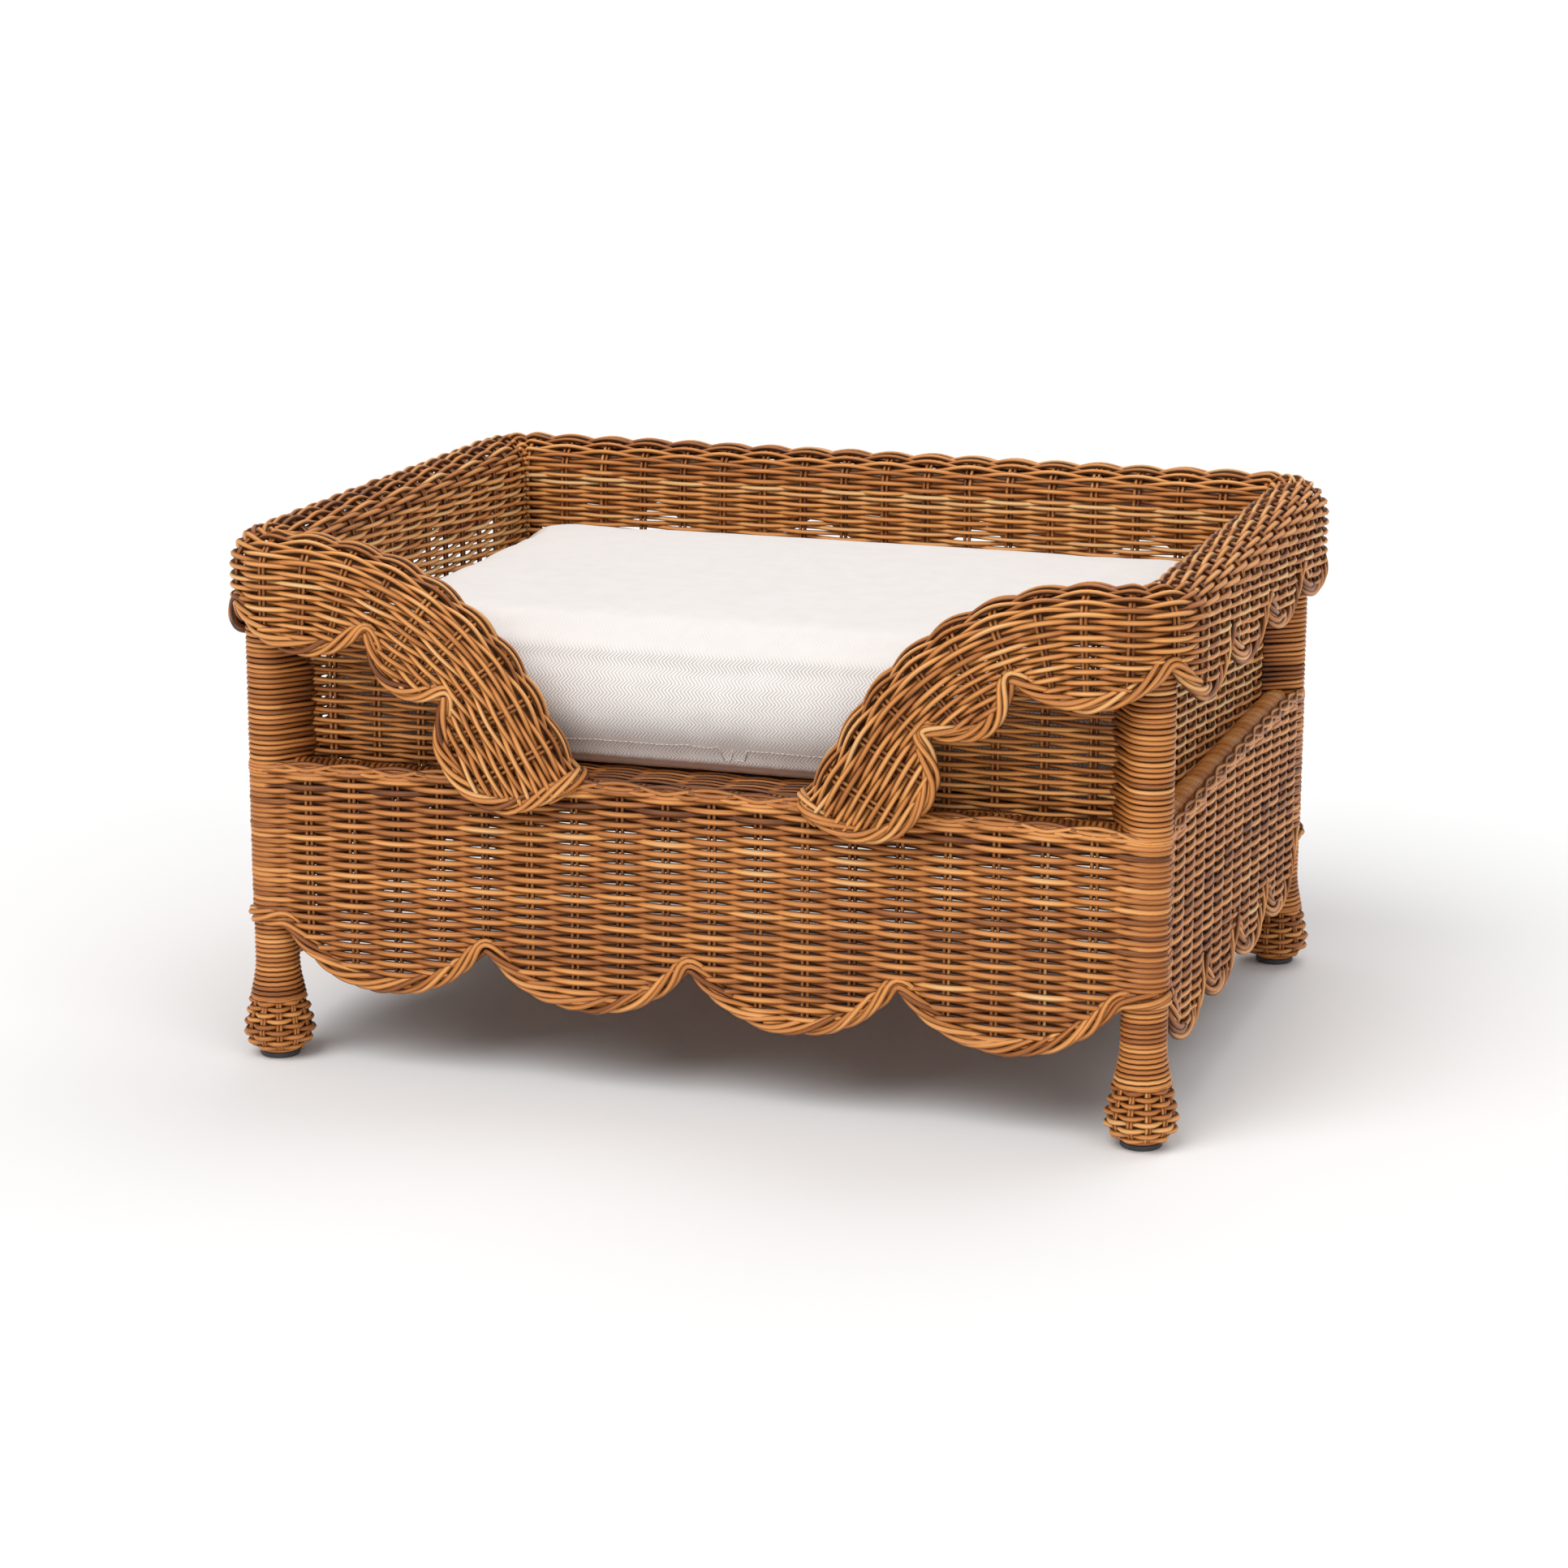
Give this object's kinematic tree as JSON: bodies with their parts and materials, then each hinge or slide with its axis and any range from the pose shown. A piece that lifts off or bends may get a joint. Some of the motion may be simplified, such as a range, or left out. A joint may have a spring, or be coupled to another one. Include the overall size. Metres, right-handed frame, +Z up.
{
  "type": "pet bed",
  "caption": "Woven rattan pet bed on corner posts with bulb feet, a rolled scalloped collar dipping to a front entry, a scalloped skirt and a lift-out box cushion.",
  "frame": {"origin": "middle of the floor under the bed, on the plane of the four glides", "axes": "+X to the bed's right seen from the entry, +Y from the entry towards the back wall, +Z up"},
  "size_m": [0.735, 0.555, 0.402],
  "materials": {
    "rattan_weave": "satin woven cane",
    "rattan_peel": "satin wound peel",
    "rattan_pole": "satin pole",
    "glide_plastic": "matte",
    "screw_steel": "zinc plated",
    "foam": "open-cell foam",
    "cushion_fabric": "herringbone cotton",
    "zipper_fabric": "woven tape",
    "zipper_metal": "brushed"
  },
  "bodies": {
    "bed": {"post_front_left": "rattan_pole", "post_front_right": "rattan_pole", "post_back_left": "rattan_pole", "post_back_right": "rattan_pole", "leg_wrap_front_left": "rattan_peel", "leg_wrap_front_right": "rattan_peel", "leg_wrap_back_left": "rattan_peel", "leg_wrap_back_right": "rattan_peel", "post_wrap_front_left": "rattan_weave", "post_wrap_front_right": "rattan_weave", "post_wrap_back_left": "rattan_weave", "post_wrap_back_right": "rattan_weave", "foot_weave_front_left": "rattan_weave", "foot_weave_front_right": "rattan_weave", "foot_weave_back_left": "rattan_weave", "foot_weave_back_right": "rattan_weave", "foot_glide_front_left": "glide_plastic", "foot_glide_front_right": "glide_plastic", "foot_glide_back_left": "glide_plastic", "foot_glide_back_right": "glide_plastic", "seat_rail_front": "rattan_pole", "seat_rail_back": "rattan_pole", "seat_rail_left": "rattan_pole", "seat_rail_right": "rattan_pole", "seat_rail_wrap_front": "rattan_peel", "seat_rail_wrap_back": "rattan_peel", "seat_rail_wrap_left": "rattan_peel", "seat_rail_wrap_right": "rattan_peel", "top_rail_back": "rattan_pole", "top_rail_left": "rattan_pole", "top_rail_right": "rattan_pole", "arm_rail_front_left": "rattan_pole", "arm_rail_front_right": "rattan_pole", "deck_pole_1": "rattan_pole", "deck_pole_2": "rattan_pole", "deck_pole_3": "rattan_pole", "deck_pole_4": "rattan_pole", "seat_mat": "rattan_weave", "skirt_front": "rattan_weave", "skirt_back": "rattan_weave", "skirt_left": "rattan_weave", "skirt_right": "rattan_weave", "wall_back": "rattan_weave", "wall_left": "rattan_weave", "wall_right": "rattan_weave", "wall_front_left": "rattan_weave", "wall_front_right": "rattan_weave", "collar_back": "rattan_weave", "collar_left": "rattan_weave", "collar_right": "rattan_weave", "collar_front_left": "rattan_weave", "collar_front_right": "rattan_weave", "skirt_braid": "rattan_weave", "collar_braid": "rattan_weave", "frame_screws": "screw_steel"},
    "cushion": {"cushion_foam": "foam", "cushion_cover": "cushion_fabric", "zipper_tape": "zipper_fabric"},
    "zipper_slider": {"zipper_slider": "zipper_metal"},
    "zipper_pull": {"zipper_pull": "zipper_metal"}
  },
  "joints": [
    {"name": "cushion_lift", "type": "slide", "parent": "bed", "child": "cushion", "axis": [0, 0, 1], "range_m": [0, 0.25]},
    {"name": "zipper_slide", "type": "slide", "parent": "cushion", "child": "zipper_slider", "axis": [1, 0, 0], "range_m": [0, 0.472]},
    {"name": "zipper_pull_swing", "type": "hinge", "parent": "zipper_slider", "child": "zipper_pull", "pos_m": [-0.236, 0.22, 0.2724], "axis": [0, 1, 0], "range_deg": [-85, 85]}
  ]
}
